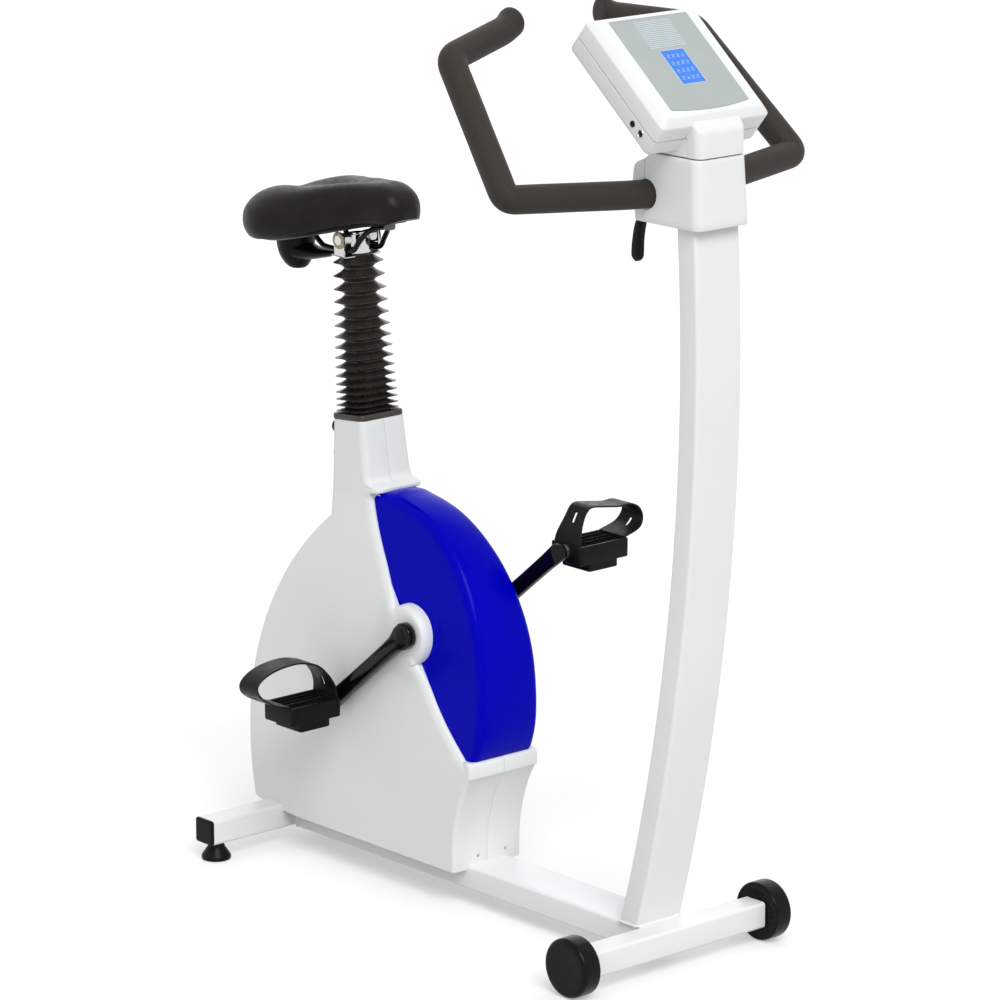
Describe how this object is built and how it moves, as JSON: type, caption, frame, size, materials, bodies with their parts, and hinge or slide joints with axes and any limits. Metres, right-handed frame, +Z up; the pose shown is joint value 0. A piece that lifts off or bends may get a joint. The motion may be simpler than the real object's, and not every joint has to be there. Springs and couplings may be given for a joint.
{
  "type": "bicycle ergometer",
  "caption": "Upright exercise bike with a teardrop housing, strapped pedals, a saddle on a bellows-covered sliding post, and a curved column with bent foam grips and a turning console.",
  "frame": {"origin": "on the floor, under the centre of the bounding box", "axes": "+X forward from the saddle to the column, +Y to the rider's left, +Z up"},
  "size_m": [0.8012, 0.4692, 1.1187],
  "materials": {
    "white_paint": "satin white powder coat",
    "white_plastic": "satin white moulding",
    "blue_plastic": "glossy blue moulding",
    "black_plastic": "black moulding",
    "strap_plastic": "flexible black strap",
    "black_paint": "gloss black",
    "bellows_rubber": "soft ribbed sleeve",
    "saddle_vinyl": "padded black vinyl",
    "foam": "closed-cell foam",
    "chrome": "polished",
    "steel": "plain steel",
    "iron": "machined casting",
    "grey_panel": "matt grey foil",
    "display": "blue screen",
    "grey_rubber": "soft block",
    "belt_rubber": "flat belt",
    "wheel_rubber": "black wheel"
  },
  "bodies": {
    "frame": {"base_beam": "white_paint", "front_cross_tube": "white_paint", "rear_cross_tube": "white_paint", "rear_cap_right": "black_plastic", "rear_cap_left": "black_plastic", "wheel_bolt_right": "black_paint", "wheel_bolt_left": "black_paint", "column": "white_paint", "seat_tube": "steel", "crank_bracket": "steel", "crank_cartridge": "iron", "housing_right": "white_plastic", "housing_left": "white_plastic", "front_cover": "blue_plastic", "housing_screw_right": "steel", "housing_screw_left": "steel", "flywheel_fork": "steel", "flywheel_axle": "steel", "brake_magnet": "iron", "drive_belt": "belt_rubber", "mains_inlet": "black_plastic", "bellows": "bellows_rubber", "head_front": "white_plastic", "head_rear": "white_plastic", "head_core": "iron", "bar_clamp_cap": "iron"},
    "crank": {"crank_spindle": "steel", "crank_pulley": "black_plastic", "crank_arm_right": "black_paint", "crank_arm_left": "black_paint", "pedal_axle_right": "steel", "pedal_axle_left": "steel"},
    "flywheel": {"flywheel": "iron"},
    "pedal_right": {"pedal_body_right": "black_plastic", "pedal_strap_right": "strap_plastic"},
    "pedal_left": {"pedal_body_left": "black_plastic", "pedal_strap_left": "strap_plastic"},
    "wheel_right": {"wheel_right": "wheel_rubber"},
    "wheel_left": {"wheel_left": "wheel_rubber"},
    "foot_right": {"levelling_foot_right": "black_plastic"},
    "foot_left": {"levelling_foot_left": "black_plastic"},
    "post": {"seat_post": "chrome", "saddle_clamp": "chrome"},
    "saddle": {"saddle_cushion": "saddle_vinyl", "saddle_base": "black_plastic", "saddle_rails": "black_paint", "rail_bracket": "chrome", "saddle_bumper": "grey_rubber"},
    "seat_lever": {"seat_lever": "black_plastic"},
    "bar": {"handlebar": "steel", "grip_right": "foam", "grip_left": "foam"},
    "head_lever": {"head_lever": "black_plastic"},
    "console": {"console_front": "white_plastic", "console_rear": "white_plastic", "console_panel": "grey_panel", "display": "display", "jack_small": "black_plastic", "jack_large": "chrome"},
    "switch": {"mains_switch": "black_plastic"}
  },
  "joints": [
    {"name": "crank_spin", "type": "hinge", "parent": "frame", "child": "crank", "pos_m": [-0.0806, 0, 0.33], "axis": [0, 1, 0], "continuous": true},
    {"name": "flywheel_spin", "type": "hinge", "parent": "frame", "child": "flywheel", "pos_m": [-0.3011, 0, 0.165], "axis": [0, 1, 0], "continuous": true},
    {"name": "pedal_right_spin", "type": "hinge", "parent": "crank", "child": "pedal_right", "pos_m": [-0.21253, -0.1175, 0.22279], "axis": [0, 1, 0], "continuous": true},
    {"name": "pedal_left_spin", "type": "hinge", "parent": "crank", "child": "pedal_left", "pos_m": [0.05133, 0.1175, 0.43721], "axis": [0, 1, 0], "continuous": true},
    {"name": "wheel_right_spin", "type": "hinge", "parent": "frame", "child": "wheel_right", "pos_m": [0.3214, -0.1545, 0.0356], "axis": [0, 1, 0], "continuous": true},
    {"name": "wheel_left_spin", "type": "hinge", "parent": "frame", "child": "wheel_left", "pos_m": [0.3214, 0.1545, 0.0356], "axis": [0, 1, 0], "continuous": true},
    {"name": "foot_right_turn", "type": "hinge", "parent": "frame", "child": "foot_right", "pos_m": [-0.3493, -0.148, 0], "axis": [0, 0, 1], "continuous": true},
    {"name": "foot_left_turn", "type": "hinge", "parent": "frame", "child": "foot_left", "pos_m": [-0.3493, 0.148, 0], "axis": [0, 0, 1], "continuous": true},
    {"name": "seat_height", "type": "slide", "parent": "frame", "child": "post", "axis": [-0.0863, 0, 0.9963], "range_m": [-0.1, 0.15], "deforming": ["bellows"]},
    {"name": "saddle_tilt", "type": "hinge", "parent": "post", "child": "saddle", "pos_m": [-0.24297, 0, 0.78818], "axis": [0, 1, 0], "range_deg": [-6, 6]},
    {"name": "seat_lever_turn", "type": "hinge", "parent": "frame", "child": "seat_lever", "pos_m": [-0.2524, 0, 0.546], "axis": [1, 0, 0], "range_deg": [-120, 120]},
    {"name": "handlebar_tilt", "type": "hinge", "parent": "frame", "child": "bar", "pos_m": [0.3144, 0, 0.925], "axis": [0, 1, 0], "range_deg": [-40, 40]},
    {"name": "head_lever_turn", "type": "hinge", "parent": "frame", "child": "head_lever", "pos_m": [0.2989, -0.0285, 0.899], "axis": [0, 1, 0], "range_deg": [0, 80]},
    {"name": "console_swivel", "type": "hinge", "parent": "frame", "child": "console", "pos_m": [0.3444, 0, 0.9742], "axis": [0, 0, 1], "range_deg": [-170, 170]},
    {"name": "mains_switch_rock", "type": "hinge", "parent": "frame", "child": "switch", "pos_m": [-0.39389, -0.0235, 0.092], "axis": [0, 1, 0], "range_deg": [-10, 0]}
  ],
  "couplings": [
    {"joint": "flywheel_spin", "follows": "crank_spin", "ratio": 3}
  ]
}
